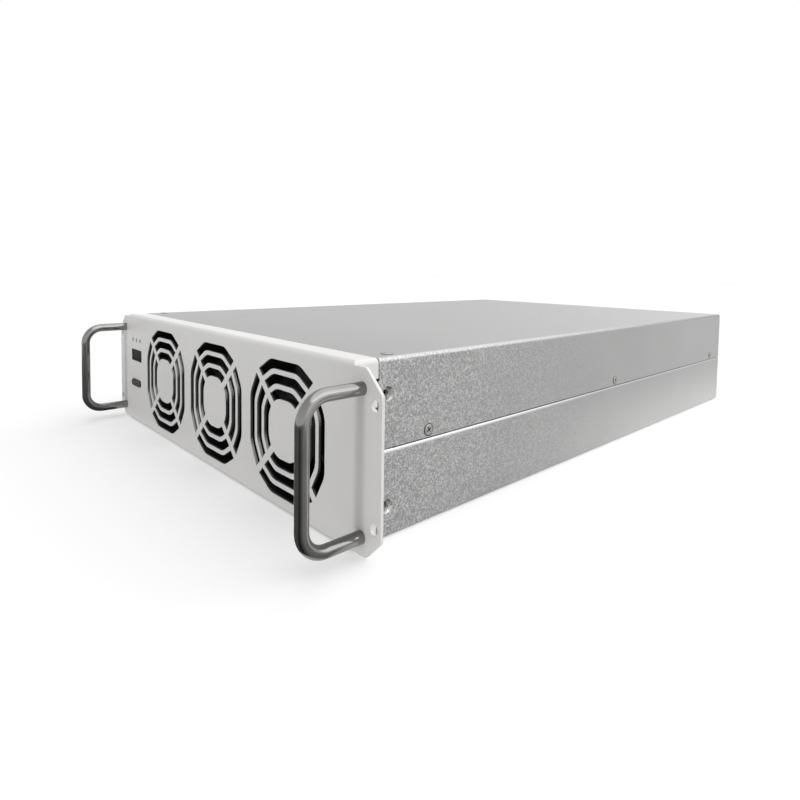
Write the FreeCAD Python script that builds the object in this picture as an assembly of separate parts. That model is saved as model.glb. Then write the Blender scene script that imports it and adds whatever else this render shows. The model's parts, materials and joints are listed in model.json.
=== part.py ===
import FreeCAD, Part
import math
import os

# Charger power module: a flat rack case of folded sheet with three fans behind a
# white front panel, two pull handles, a control strip, and the converter inside.
# Millimetres. +X to the right seen from the front, +Y to the back, +Z up.
# The origin is in the middle of the base.

Vector = FreeCAD.Vector

# Sheet metal
sheet = 1.2                 # galvanised sheet of the case
case_fold = 2.2             # outside radius of the case's folds
panel_sheet = 1.6           # coated sheet of the front panel
panel_fold = 2.5            # outside radius of the front panel's folds
lap_gap = 0.1               # between the tray's lip and the cover's skirt
fit_gap = 0.3               # between pieces that move or slide past each other
screw_play = 0.1            # around a screw in its hole

# Fans
fan_count = 3
fan_size = 80.0             # square frame
fan_depth = 38.0
fan_spacing = 1.0           # between two frames
fan_headroom = 0.8          # above and below a frame
fan_corner = 4.0            # corner radius of a frame
fan_flange = 4.5            # thickness of a frame's two square ends
fan_wall = 2.0              # from a frame's side to its bore
fan_duct = 1.5              # wall of the round duct between the ends
fan_hole_inset = 4.25       # from a frame's sides to its corner holes
fan_hole_radius = 2.15
fan_strut_count = 4
fan_strut_width = 4.0
fan_strut_turn = 22.0       # degrees from upright
motor_base = 5.0            # thickness of the struts and of the motor's seat
bearing_radius = 4.5
bearing_length = 22.0
stator_radius = 14.5
stator_length = 11.0
stator_teeth = 4
stator_tooth_gap = 3.0

# Rotors
rotor_setback = 4.0         # behind the frame's front
rotor_clearance = 1.2       # between the hub's rim and the motor's seat
hub_radius = 18.5
hub_wall = 2.0
hub_bevel = 2.0
shaft_radius = 2.0
blade_count = 7
blade_tip_gap = 0.9
blade_root_chord = 20.0
blade_tip_chord = 27.0
blade_root_pitch = 48.0     # degrees from the plane of rotation
blade_tip_pitch = 27.0
blade_camber = 1.8
blade_thick = 1.8
blade_edge = 0.9
blade_overlap = 0.8         # sunk into the hub's wall

# Case
control_strip = 39.3        # from the left side to the first fan
side_margin = 16.7          # from the last fan to the right side
seam_height = 41.6          # top of the tray's walls
seam_gap = 0.4
seam_round = 1.0            # where the tray's walls turn in to its lip
lip_height = 9.0            # of the tray's lip behind the cover's skirt
wiring_gap = 20.9           # behind the fan plate
rear_screw_inset = 24.0     # of the last side screws from the rear
rear_flange_edge = 6.0      # of the rear panel's flanges past those screws
front_screw_inset = 4.6     # of the first side screws behind the fan plate
side_screw_rise = 4.1       # of the side screws above the seam

# Rail fixings: dimpled countersunk holes in both sides
rail_hole_setback = 19.6    # behind the panel's front
rail_hole_inset = 15.9      # from the case's base and top, before the drop
rail_hole_mouth = 3.3       # radius at the surface
rail_ledge_radius = 2.3     # round the hole, at the foot of the cone
rail_ledge_depth = 1.9
rail_hole_radius = 1.65
rail_thread_radius = 1.25

# Front panel
fitting_drop = 0.8          # of the grilles, handles, ear and rail holes below the case's middle
ear_hole_offset = 14.2      # from the case's side
ear_hole_edge = 4.3         # from an ear's holes to its outer edge
ear_hole_inset = 15.85      # from the case's base and top, before the drop
ear_hole_radius = 2.6
ear_top_inset = 1.6         # of the ears' upper edge below the case's top
ear_top_chamfer = 10.4
ear_base_chamfer = 9.4
ear_round = 3.0
panel_lift = 0.9            # of the panel's lower edge above the base
floor_setback = 6.0         # of the tray's floor behind the panel
flange_reach = 13.8         # of the panel's top flange
tab_height = 9.2            # of the flange's two side tabs
tab_relief = 0.3            # slit between a tab and its ear
panel_gap = 0.4             # between the flange and the cover
tab_gap = 1.3               # below a tab

# Grilles: rings of slots with twelve straight sides, cut by diagonal spokes
grille_margin = 4.65        # from a fan's sides to its outermost slots
grille_swell = 0.062        # of the slanted sides past the four flats, as a share of the reach
grille_round = 11.0         # at the corners of the rings
grille_rings = 3
grille_slot = 4.9
grille_bar = 2.6
grille_spoke = 4.0
grille_sides = 12

# Handles
rod_radius = 3.0
handle_standoff = 29.6      # panel to the bar's axis
handle_inset = 9.9          # of the legs from the case's base and top, before the drop
handle_bend = 11.5          # of the bar's axis
handle_offset = 5.8         # from the case's side
handle_thread_spare = 3.6   # of the tapped depth past the screw

# Panel brackets behind the ears
bracket_edge = 5.5          # behind the lid screw
bracket_foot = 9.0
bracket_key_gap = 4.25      # from the lower foot to the key's rim
bracket_upper_foot = 8.0
bracket_lift = 3.0          # above the tray's floor
bracket_tab_width = 12.0
bracket_tab_length = 14.0
lid_screw_setback = 25.5
lid_screw_inset = 8.0

# Screws
m3_radius = 1.5
m3_head_radius = 2.75
m3_head_height = 2.4
m3_length = 5.0
m4_radius = 1.9
m4_head_radius = 3.6
m4_head_height = 2.4
fan_screw_length = 9.0
handle_screw_length = 10.0
thread_bite = 3.0           # of a board's screws in their posts

# Control strip
corner_round = 0.3          # of the small moulded blocks
display_width = 22.4
display_height = 9.1
display_drop = 31.6         # of the display's centre below the case's top
lens_setback = 0.3
lens_rim = 2.0
lens_rim_thick = 1.0
digit_depth = 6.0
digit_margin = 1.0
light_drop = 19.6           # below the case's top
light_pitch = 8.2
light_count = 3
light_radius = 1.5
light_rim = 0.7
light_rim_thick = 1.0
led_size = 2.6
led_height = 0.8
led_gap = 0.5
key_drop = 53.5             # of the key's centre below the case's top
key_width = 18.4
key_height = 4.9
key_proud = 1.0
key_travel = 0.8
key_rim = 1.6
key_rim_thick = 1.0
key_spare = 0.9             # between the pressed key's rim and the switch
plunger_radius = 2.6
plunger_depth = 1.6         # in the switch's well
switch_size = 12.0
front_board_sheet = 1.6
front_board_gap = 0.5       # from the board's side to the bracket
front_board_headroom = 1.6  # below the bracket's upper foot
front_board_drop = 61.5     # of the board's lower edge below the case's top
post_radius = 2.5
post_inset = 3.4            # from the front board's sides
post_top_inset = 2.6
post_lower_drop = 44.2      # of the lower posts below the case's top

# Power board
board_sheet = 2.0
board_edge = 8.0            # from the board to the tray's lip
board_lift = 6.0            # above the tray's floor
row_gap = 12.0
board_gaps = 3              # before, between and behind the rows
column_gap = 6.0
standoff_flats = 5.5        # across the flats of a hexagonal standoff
standoff_inset = 6.0
standoff_rows = 4

# Heat sinks and the transistors clamped to them
sink_base = 5.0
sink_fins = 7
sink_fin = 2.0
sink_reach = 26.0           # base and fins together
sink_headroom = 13.6        # below the lid
sink_foot = 4.0             # below the lowest fin
transistor_count = 6
transistor_width = 15.8
transistor_height = 20.8
transistor_thick = 5.0
transistor_rise = 12.0
lead_width = 1.4
lead_thick = 0.7
lead_pitch = 5.4

# Capacitor banks
bulk_rows = 4
bulk_columns = 2
bulk_radius = 17.5
bulk_height = 50.0
bulk_gap = 3.0
can_bevel = 1.5
output_rows = 2
output_columns = 3
output_radius = 11.0
output_height = 40.0
output_gap = 2.0

# Magnetics
choke_count = 2
choke_core_outer = 25.0     # radii of the ring core
choke_core_inner = 16.0
choke_core_height = 24.0
choke_gap = 9.4
choke_base_thick = 2.0
winding_thick = 3.0
winding_gap = 0.3
winding_turn = 330.0        # degrees of the ring that is wound
filter_core_outer = 22.0
filter_core_inner = 13.0
filter_core_height = 20.0
transformer_count = 2
transformer_gap = 28.0
core_length = 55.0
core_width = 42.0
core_height = 46.0
core_back = 9.0
core_leg = 15.0             # centre leg's diameter
coil_gap = 0.5
resonant_count = 2
resonant_width = 34.0
resonant_length = 30.0
resonant_height = 34.0
resonant_gap = 6.0

# Input filter and output switch
filter_count = 3
filter_width = 32.0
filter_length = 14.0
filter_height = 26.0
filter_gap = 3.0
fuse_radius = 5.0
fuse_length = 38.0
fuse_cap = 7.0
fuse_gap = 4.0
fuse_rise = 9.0
relay_width = 30.0
relay_length = 34.0
relay_height = 38.0
busbar_width = 12.0
busbar_thick = 2.0

# Control card standing on the power board
card_sheet = 1.6
card_length = 150.0
card_headroom = 17.6        # below the lid
header_width = 5.0
header_height = 8.5
chip_size = 20.0
chip_thick = 1.8
chip_count = 3
chip_gap = 24.0

# Rear sockets
socket_flange = 2.0
socket_wall = 2.0
socket_depth = 20.0
socket_gap = 3.2            # between the sockets and the power board
socket_lift = 8.0           # of a socket's lower side above the base
socket_ear = 7.0
socket_play = 0.3
inlet_width = 58.0
inlet_height = 18.0
inlet_margin = 40.0         # from the case's left side to the mouth
inlet_poles = 4
outlet_width = 78.0
outlet_height = 14.0
outlet_margin = 35.0        # from the case's right side to the mouth
outlet_blade_inset = 9.0    # of the power blades from the ends of the mouth
signal_poles = 5
signal_gap = 3.6
signal_pin = 1.4
pin_setback = 6.0           # of the pins' tips inside the mouth
blade_pin_width = 8.0
blade_pin_thick = 1.6
pin_landing = 2.8           # of the pins' legs from the board's rear edge

# Exhaust slots in the rear panel
vent_width = 5.0
vent_bar = 4.0
vent_margin = 14.0          # from the rear panel's sides
vent_top = 7.0              # from the case's top
vent_gap = 8.0              # above the sockets

# Worked out from the sizes above: the case
fans_width = fan_count * fan_size + (fan_count - 1) * fan_spacing
chassis_width = control_strip + fans_width + side_margin
chassis_height = fan_size + 2 * sheet + 2 * fan_headroom
half_width = chassis_width / 2
mid_height = chassis_height / 2
lip_outer = half_width - sheet - lap_gap
lip_inner = lip_outer - sheet
inner_x = lip_inner - fit_gap
fitting_mid = mid_height - fitting_drop
rail_hole_span = chassis_height - 2 * rail_hole_inset
rear_flange = rear_screw_inset + rear_flange_edge

# Worked out: rows on the power board and the depth they need
bulk_pitch = 2 * bulk_radius + bulk_gap
bulk_length = bulk_rows * bulk_pitch
sink_length = bulk_length
choke_outer = choke_core_outer + winding_gap + winding_thick
choke_pitch = 2 * choke_outer + choke_gap
choke_length = 2 * choke_outer + row_gap
filter_outer = filter_core_outer + winding_gap + winding_thick
filter_pitch = filter_length + filter_gap
filter_zone = 2 * filter_outer + row_gap + filter_count * filter_pitch
board_length = bulk_length + choke_length + filter_zone + board_gaps * row_gap
rear_gap = socket_depth + socket_gap - sheet
handle_reach = handle_standoff + rod_radius
body_depth = panel_fold + fan_depth + sheet + wiring_gap + board_length + rear_gap + sheet
overall_depth = handle_reach + body_depth + socket_flange

# Worked out: planes from front to rear
front = handle_reach - overall_depth / 2
panel_back = front + panel_sheet
fan_front = front + panel_fold
fan_back = fan_front + fan_depth
plate_back = fan_back + sheet
board_front = plate_back + wiring_gap
board_back = board_front + board_length
pin_leg_y = board_back - pin_landing
rear = front + body_depth
rear_inner = rear - sheet
first_screw_y = plate_back + front_screw_inset
last_screw_y = rear - rear_screw_inset
side_screw_rows = [first_screw_y, (first_screw_y + last_screw_y) / 2, last_screw_y]
side_screw_z = seam_height + side_screw_rise
lid_screw_x = half_width - lid_screw_inset
lid_screw_y = front + lid_screw_setback
bracket_depth = lid_screw_setback + bracket_edge

# Worked out: front panel and control strip
ear_width = ear_hole_offset + ear_hole_edge
ear_hole_span = chassis_height - 2 * ear_hole_inset
handle_span = chassis_height - 2 * handle_inset
handle_thread_depth = handle_screw_length - panel_sheet + handle_thread_spare
fan_hole_pitch = fan_size - 2 * fan_hole_inset
grille_reach = fan_size / 2 - grille_margin
grille_pitch = grille_slot + grille_bar
strip_x = -half_width + control_strip / 2
bracket_face = inner_x - sheet
bracket_top = chassis_height - 2 * sheet
board_face = panel_back + lens_rim_thick + fit_gap + digit_depth
front_board_half = bracket_face + strip_x - front_board_gap
front_board_top = bracket_top - bracket_upper_foot - front_board_headroom
key_rim_back = panel_back + fit_gap + key_rim_thick
switch_face = key_rim_back + key_travel + key_spare
display_z = chassis_height - display_drop
light_z = chassis_height - light_drop
key_z = chassis_height - key_drop
bracket_foot_top = key_z - key_height / 2 - key_rim - bracket_key_gap

# Worked out: power board, sockets and vents
standoff_radius = standoff_flats / math.sqrt(3)
board_half = lip_inner - board_edge
board_low = sheet + board_lift
board_top = board_low + board_sheet
sink_face = board_half - standoff_inset - standoff_radius - column_gap - sink_reach
sink_height = chassis_height - sheet - sink_headroom - board_top
row_edge = sink_face - transistor_thick - column_gap
card_x = bulk_columns * bulk_pitch - bulk_gap - row_edge + column_gap + chip_thick + card_sheet / 2
card_height = chassis_height - sheet - card_headroom - board_top
chip_pitch = chip_size + chip_gap
output_pitch = 2 * output_radius + output_gap
transformer_pitch = core_width + transformer_gap
resonant_pitch = resonant_width + resonant_gap
fuse_pitch = 2 * fuse_radius + fuse_gap
socket_z = socket_lift + socket_wall
inlet_x = inlet_margin + inlet_width / 2 - half_width
outlet_x = half_width - outlet_margin - outlet_width / 2
inlet_pitch = inlet_width / inlet_poles
signal_pitch = signal_pin + signal_gap
busbar_pitch = outlet_width / 2 - outlet_blade_inset
vent_pitch = vent_width + vent_bar


# Basic forms

def box(x0, x1, y0, y1, z0, z1):
    return Part.makeBox(x1 - x0, y1 - y0, z1 - z0, Vector(x0, y0, z0))


def rod(start, direction, radius, length):
    return Part.makeCylinder(radius, length, start, direction)


def rod_y(x, z, radius, y0, y1):
    return rod(Vector(x, y0, z), Vector(0, 1, 0), radius, y1 - y0)


def rod_z(x, y, radius, z0, z1):
    return rod(Vector(x, y, z0), Vector(0, 0, 1), radius, z1 - z0)


def joined(shapes):
    """One solid from pieces that overlap or meet."""
    return shapes[0].fuse(shapes[1:]).removeSplitter()


def group(solids):
    return Part.makeCompound(solids)


def mirrored(shape):
    """The same piece on the other side of the middle plane."""
    return shape.mirror(Vector(0, 0, 0), Vector(1, 0, 0))


def both_sides(shape):
    return [shape, mirrored(shape)]


def rounded_wire(corners):
    """Closed wire through (point, radius) corners."""
    edges = []
    count = len(corners)
    last = None
    first = None
    for index, (point, radius) in enumerate(corners):
        back = corners[index - 1][0] - point
        ahead = corners[(index + 1) % count][0] - point
        back.normalize()
        ahead.normalize()
        half = back.getAngle(ahead) / 2
        start = point
        end = point
        arc = None
        if radius > 0:
            start = point + back * (radius / math.tan(half))
            end = point + ahead * (radius / math.tan(half))
            inward = back + ahead
            inward.normalize()
            crown = point + inward * (radius / math.sin(half) - radius)
            arc = Part.Arc(start, crown, end).toShape()
        if last is None:
            first = start
        else:
            edges.append(Part.LineSegment(last, start).toShape())
        if arc:
            edges.append(arc)
        last = end
    edges.append(Part.LineSegment(last, first).toShape())
    return Part.Wire(edges)


def prism_y(corners, y0, y1):
    """Solid along Y from (x, z, radius) corners."""
    wire = rounded_wire([(Vector(x, y0, z), radius) for x, z, radius in corners])
    return Part.Face(wire).extrude(Vector(0, y1 - y0, 0))


def prism_x(corners, x0, x1):
    """Solid along X from (y, z, radius) corners."""
    wire = rounded_wire([(Vector(x0, y, z), radius) for y, z, radius in corners])
    return Part.Face(wire).extrude(Vector(x1 - x0, 0, 0))


def rounded_block_y(x, z, width, height, radius, y0, y1):
    """Block along Y with rounded corners, centred on x, z."""
    w = width / 2
    h = height / 2
    corners = [(x - w, z - h, radius), (x + w, z - h, radius), (x + w, z + h, radius), (x - w, z + h, radius)]
    return prism_y(corners, y0, y1)


def capsule_y(x, z, width, height, y0, y1):
    """Block along Y with fully round ends."""
    radius = height / 2
    run = width / 2 - radius
    middle = box(x - run, x + run, y0, y1, z - radius, z + radius)
    ends = [rod_y(x + side * run, z, radius, y0, y1) for side in (-1, 1)]
    return joined([middle] + ends)


def mirror_outline(half):
    """Whole outline from its right half, listed from below round to above."""
    return half + [(-x, z, radius) for x, z, radius in reversed(half)]


def countersunk(point, direction, play):
    """Countersunk screw, or with play the hole for it. The head is flush at the point."""
    head = Part.makeCone(m3_head_radius + play, m3_radius + play, sheet, point, direction)
    shank = rod(point, direction, m3_radius + play, m3_length + play)
    return joined([head, shank])


def pan_screw(seat, direction, radius, length):
    """Screw with a flat round head standing on its seat."""
    head = rod(seat - direction * m4_head_height, direction, m4_head_radius, m4_head_height)
    shank = rod(seat, direction, radius, length)
    return joined([head, shank])


def side_screw_points():
    return [Vector(half_width, y, side_screw_z) for y in side_screw_rows]


def side_screw_holes():
    """Holes for the side screws, through both walls."""
    holes = [countersunk(point, Vector(-1, 0, 0), screw_play) for point in side_screw_points()]
    return holes + [mirrored(hole) for hole in holes]


# Case

def rail_dimple(z):
    """Cone pressed into the right wall: what it adds inside and what it opens."""
    direction = Vector(-1, 0, 0)
    y = front + rail_hole_setback
    wall_inner = half_width - sheet
    centre = Vector(half_width, y, z)
    boss = Part.makeCone(rail_hole_mouth, rail_hole_radius + sheet / 2, wall_inner - inner_x,
                         Vector(wall_inner, y, z), direction)
    mouth = Part.makeCone(rail_hole_mouth, rail_ledge_radius, rail_ledge_depth, centre, direction)
    hole = rod(centre, direction, rail_hole_radius, half_width - inner_x)
    return boss, joined([mouth, hole])


def with_rail_holes(wall, z):
    boss, mouth = rail_dimple(z)
    return joined([wall] + both_sides(boss)).cut(both_sides(mouth))


def bottom_tray():
    half = [
        (half_width, 0, case_fold),
        (half_width, seam_height, seam_round),
        (lip_outer, seam_height, 0),
        (lip_outer, seam_height + lip_height, 0),
        (lip_inner, seam_height + lip_height, 0),
        (lip_inner, seam_height - sheet, 0),
        (half_width - sheet, seam_height - sheet, 0),
        (half_width - sheet, sheet, case_fold - sheet),
    ]
    tray = prism_y(mirror_outline(half), panel_back, rear)
    tray = with_rail_holes(tray, fitting_mid - rail_hole_span / 2)
    floor = lip_inner - case_fold
    opening = box(-floor, floor, panel_back, panel_back + floor_setback, 0, sheet)
    return tray.cut([opening] + side_screw_holes())


def top_cover():
    half = [
        (half_width - sheet, seam_height + seam_gap, 0),
        (half_width, seam_height + seam_gap, 0),
        (half_width, chassis_height, case_fold),
    ]
    inside = [
        (-half_width, chassis_height, case_fold),
        (-half_width, seam_height + seam_gap, 0),
        (sheet - half_width, seam_height + seam_gap, 0),
        (sheet - half_width, chassis_height - sheet, case_fold - sheet),
        (half_width - sheet, chassis_height - sheet, case_fold - sheet),
    ]
    cover = prism_y(half + inside, panel_back, rear)
    cover = with_rail_holes(cover, fitting_mid + rail_hole_span / 2)
    notch = box(-chassis_width, chassis_width, panel_back - sheet, front + flange_reach + panel_gap,
                chassis_height - tab_height - tab_gap, chassis_height + sheet)
    return cover.cut([notch] + side_screw_holes() + lid_screws(screw_play))


def lid_screws(play):
    point = Vector(lid_screw_x, lid_screw_y, chassis_height)
    return both_sides(countersunk(point, Vector(0, 0, -1), play))


def cover_side_screws():
    screws = [countersunk(point, Vector(-1, 0, 0), 0) for point in side_screw_points()]
    return screws + [mirrored(screw) for screw in screws]


def vent_slots():
    """Upright exhaust slots across the rear panel, above the sockets."""
    low = socket_z + inlet_height + socket_wall + vent_gap
    high = chassis_height - vent_top
    span = 2 * (inner_x - vent_margin) - vent_width
    count = int(span / vent_pitch) + 1
    first = -vent_pitch * (count - 1) / 2
    radius = vent_width / 2
    slots = []
    for index in range(count):
        x = first + index * vent_pitch
        middle = box(x - radius, x + radius, rear_inner, rear, low + radius, high - radius)
        ends = [rod_y(x, z, radius, rear_inner, rear) for z in (low + radius, high - radius)]
        slots.append(joined([middle] + ends))
    return slots


def rear_panel():
    low = sheet
    high = chassis_height - sheet
    plate = box(-inner_x, inner_x, rear_inner, rear, low, high)
    wall = box(inner_x - sheet, inner_x, rear - rear_flange, rear, low + case_fold, high - case_fold)
    panel = joined([plate] + both_sides(wall))
    cuts = vent_slots() + side_screw_holes()
    for socket in (inlet, outlet):
        cuts.append(socket_body(socket, socket_play))
        cuts.extend(socket_screws(socket, screw_play))
    return panel.cut(cuts)


# Front panel

def panel_plate():
    reach = half_width + ear_width
    top = chassis_height - ear_top_inset
    half = [
        (reach - ear_base_chamfer, panel_lift, ear_round),
        (reach, panel_lift + ear_base_chamfer, ear_round),
        (reach, top - ear_top_chamfer, ear_round),
        (reach - ear_top_chamfer, top, ear_round),
        (half_width, top, 0),
        (half_width, chassis_height - panel_fold, 0),
    ]
    return prism_y(mirror_outline(half), front, panel_back)


def panel_top_fold():
    """The fold from the plate into the flange, rounded at its ends like the tabs' folds."""
    inner_fold = panel_fold - panel_sheet
    section = [
        (front, chassis_height - 2 * panel_fold, 0),
        (front, chassis_height, panel_fold),
        (front + flange_reach, chassis_height, 0),
        (front + flange_reach, chassis_height - panel_sheet, 0),
        (panel_back, chassis_height - panel_sheet, inner_fold),
        (panel_back, chassis_height - 2 * panel_fold, 0),
    ]
    low = chassis_height - 2 * panel_fold
    ends = [
        (half_width, low, 0),
        (half_width, chassis_height, panel_fold),
        (-half_width, chassis_height, panel_fold),
        (-half_width, low, 0),
    ]
    fold = prism_x(section, -half_width, half_width)
    return fold.common(prism_y(ends, front, front + flange_reach))


def panel_flange():
    """Top flange with a tab turned down at each end."""
    inner_fold = panel_fold - panel_sheet
    inner = half_width - panel_sheet
    low = chassis_height - tab_height
    outline = [
        (half_width, low, 0),
        (half_width, chassis_height, panel_fold),
        (-half_width, chassis_height, panel_fold),
        (-half_width, low, 0),
        (-inner, low, 0),
        (-inner, chassis_height - panel_sheet, inner_fold),
        (inner, chassis_height - panel_sheet, inner_fold),
        (inner, low, 0),
    ]
    return prism_y(outline, panel_back + tab_relief, front + flange_reach)


def grille_outline(x, reach, y0, y1):
    """Twelve-sided prism with four flats at the reach and its slanted sides a little farther out."""
    step = 2 * math.pi / grille_sides
    sides = []
    for index in range(grille_sides):
        slanted = index % (grille_sides // 4) > 0
        sides.append((index * step, reach * (1 + grille_swell) if slanted else reach))
    corners = []
    for (a, near), (b, far) in zip(sides, sides[1:] + sides[:1]):
        across = (near * math.sin(b) - far * math.sin(a)) / math.sin(step)
        up = (far * math.cos(a) - near * math.cos(b)) / math.sin(step)
        corners.append((x + across, fitting_mid + up, grille_round))
    return prism_y(corners, y0, y1)


def grille_slots(x):
    """All slots of one grille: rings cut across by two diagonal spokes."""
    y0 = front - panel_sheet
    y1 = panel_back + panel_sheet
    rings = []
    for ring in range(grille_rings):
        outer = grille_reach - ring * grille_pitch
        rings.append(grille_outline(x, outer, y0, y1).cut(grille_outline(x, outer - grille_slot, y0, y1)))
    spokes = []
    for angle in (45, 135):
        spoke = box(x - 2 * grille_reach, x + 2 * grille_reach, y0, y1,
                    fitting_mid - grille_spoke / 2, fitting_mid + grille_spoke / 2)
        spoke.rotate(Vector(x, 0, fitting_mid), Vector(0, 1, 0), angle)
        spokes.append(spoke)
    return [ring.cut(spokes) for ring in rings]


def fan_centres():
    last = half_width - side_margin - fan_size / 2
    return [last - index * (fan_size + fan_spacing) for index in reversed(range(fan_count))]


def handle_feet():
    x = half_width + handle_offset
    return [(side * x, fitting_mid + turn * handle_span / 2) for side in (-1, 1) for turn in (-1, 1)]


def ear_holes():
    x = half_width + ear_hole_offset
    spots = [(side * x, fitting_mid + turn * ear_hole_span / 2) for side in (-1, 1) for turn in (-1, 1)]
    return [rod_y(x, z, ear_hole_radius, front, panel_back) for x, z in spots]


def light_centres():
    middle = (light_count - 1) / 2
    return [strip_x + (index - middle) * light_pitch for index in range(light_count)]


def control_openings():
    """Openings of the control strip: display, status lights and key."""
    openings = [rounded_block_y(strip_x, display_z, display_width, display_height, corner_round,
                                front, panel_back)]
    for x in light_centres():
        openings.append(rod_y(x, light_z, light_radius + screw_play, front, panel_back))
    openings.append(capsule_y(strip_x, key_z, key_width + 2 * fit_gap, key_height + 2 * fit_gap,
                              front, panel_back))
    return openings


def front_panel():
    panel = joined([panel_plate(), panel_top_fold(), panel_flange()])
    cuts = ear_holes() + control_openings()
    for x in fan_centres():
        cuts.extend(grille_slots(x))
    for x, z in handle_feet():
        cuts.append(rod_y(x, z, m4_radius + screw_play, front, panel_back))
    return panel.cut(cuts)


def panel_bracket():
    """Right-hand angle that ties the panel to the case and the lid."""
    low = sheet + bracket_lift
    high = bracket_top
    wall = box(bracket_face, inner_x, panel_back, front + bracket_depth, low, high)
    foot_x = inner_x - bracket_foot
    lower = box(foot_x, inner_x, panel_back, panel_back + sheet, low, bracket_foot_top)
    upper = box(foot_x, inner_x, panel_back, panel_back + sheet, high - bracket_upper_foot, high)
    tab = box(inner_x - bracket_tab_width, inner_x, lid_screw_y - bracket_tab_length / 2,
              lid_screw_y + bracket_tab_length / 2, high, chassis_height - sheet)
    side = box(bracket_face, inner_x, lid_screw_y - bracket_tab_length / 2,
               front + bracket_depth, high - sheet, chassis_height - sheet)
    bracket = joined([wall, lower, upper, tab, side])
    cuts = lid_screws(screw_play)
    for turn in (-1, 1):
        spot = Vector(inner_x - 2 * sheet, front + rail_hole_setback, fitting_mid + turn * rail_hole_span / 2)
        cuts.append(rod(spot, Vector(1, 0, 0), rail_thread_radius, 3 * sheet))
    return bracket.cut(cuts)


def handle(side):
    """Round bar bent to a U, tapped at both ends."""
    x = side * (half_width + handle_offset)
    bar_y = front - handle_standoff
    low = fitting_mid - handle_span / 2
    high = fitting_mid + handle_span / 2
    turn_y = bar_y + handle_bend
    pieces = [rod_z(x, bar_y, rod_radius, low + handle_bend, high - handle_bend)]
    for z, angle in ((low, -90), (high, 90)):
        pieces.append(rod_y(x, z, rod_radius, turn_y, front))
        pivot = Vector(x, turn_y, z - math.copysign(handle_bend, angle))
        disc = Part.Face(Part.Wire(Part.makeCircle(rod_radius, Vector(x, turn_y, z), Vector(0, 1, 0))))
        pieces.append(disc.revolve(pivot, Vector(1, 0, 0), angle))
    bores = [rod_y(x, z, m4_radius + screw_play, front - handle_thread_depth, front) for z in (low, high)]
    return joined(pieces).cut(bores)


def handle_screws():
    direction = Vector(0, -1, 0)
    screws = []
    for x, z in handle_feet():
        screws.append(pan_screw(Vector(x, panel_back, z), direction, m4_radius, handle_screw_length))
    return screws


# Fans

def fan_corner_spots(x):
    half = fan_hole_pitch / 2
    return [(x + across * half, mid_height + up * half) for across in (-1, 1) for up in (-1, 1)]


def fan_frame(x):
    half = fan_size / 2
    ends = [(fan_front, fan_front + fan_flange), (fan_back - fan_flange, fan_back)]
    bore = half - fan_wall
    shell = [rod_y(x, mid_height, bore + fan_duct, fan_front, fan_back)]
    for y0, y1 in ends:
        shell.append(rounded_block_y(x, mid_height, fan_size, fan_size, fan_corner, y0, y1))
    frame = joined(shell).cut(rod_y(x, mid_height, bore, fan_front, fan_back))
    motor = [rod_y(x, mid_height, hub_radius, fan_back - motor_base, fan_back)]
    motor.append(rod_y(x, mid_height, bearing_radius, fan_back - bearing_length, fan_back))
    for index in range(fan_strut_count):
        strut = box(x - fan_strut_width / 2, x + fan_strut_width / 2, fan_back - motor_base, fan_back,
                    mid_height + hub_radius - hub_wall, mid_height + bore + fan_duct / 2)
        turn = fan_strut_turn + index * 360 / fan_strut_count
        strut.rotate(Vector(x, 0, mid_height), Vector(0, 1, 0), turn)
        motor.append(strut)
    frame = joined([frame] + motor)
    cuts = [rod_y(x, mid_height, shaft_radius + fit_gap, fan_front, fan_back - hub_wall)]
    for hole_x, hole_z in fan_corner_spots(x):
        cuts.append(rod_y(hole_x, hole_z, fan_hole_radius, fan_front, fan_back))
    return frame.cut(cuts)


def fan_stator(x):
    """Wound core on the bearing tube: a ring split by radial gaps."""
    back = fan_back - motor_base
    ring = rod_y(x, mid_height, stator_radius, back - stator_length, back)
    ring = ring.cut(rod_y(x, mid_height, bearing_radius, back - stator_length, back))
    gaps = []
    for index in range(stator_teeth):
        gap = box(x - stator_tooth_gap / 2, x + stator_tooth_gap / 2, back - stator_length, back,
                  mid_height + 2 * bearing_radius, mid_height + stator_radius + hub_wall)
        gap.rotate(Vector(x, 0, mid_height), Vector(0, 1, 0), index * 360 / stator_teeth)
        gaps.append(gap)
    return ring.cut(gaps)


def blade_section(radius, share):
    """Cambered blade section at a radius, share of the way from root to tip."""
    chord = blade_root_chord + share * (blade_tip_chord - blade_root_chord)
    pitch = math.radians(blade_root_pitch + share * (blade_tip_pitch - blade_root_pitch))
    along = Vector(math.cos(pitch), math.sin(pitch), 0)
    across = Vector(-math.sin(pitch), math.cos(pitch), 0)
    middle = Vector(0, 0, radius)
    upper = [(-chord / 2, blade_edge / 2), (0, blade_camber + blade_thick / 2), (chord / 2, blade_edge / 2)]
    lower = [(chord / 2, -blade_edge / 2), (0, blade_camber - blade_thick / 2), (-chord / 2, -blade_edge / 2)]
    points = [middle + along * u + across * v for u, v in upper + lower]
    return Part.makePolygon(points + points[:1])


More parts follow.
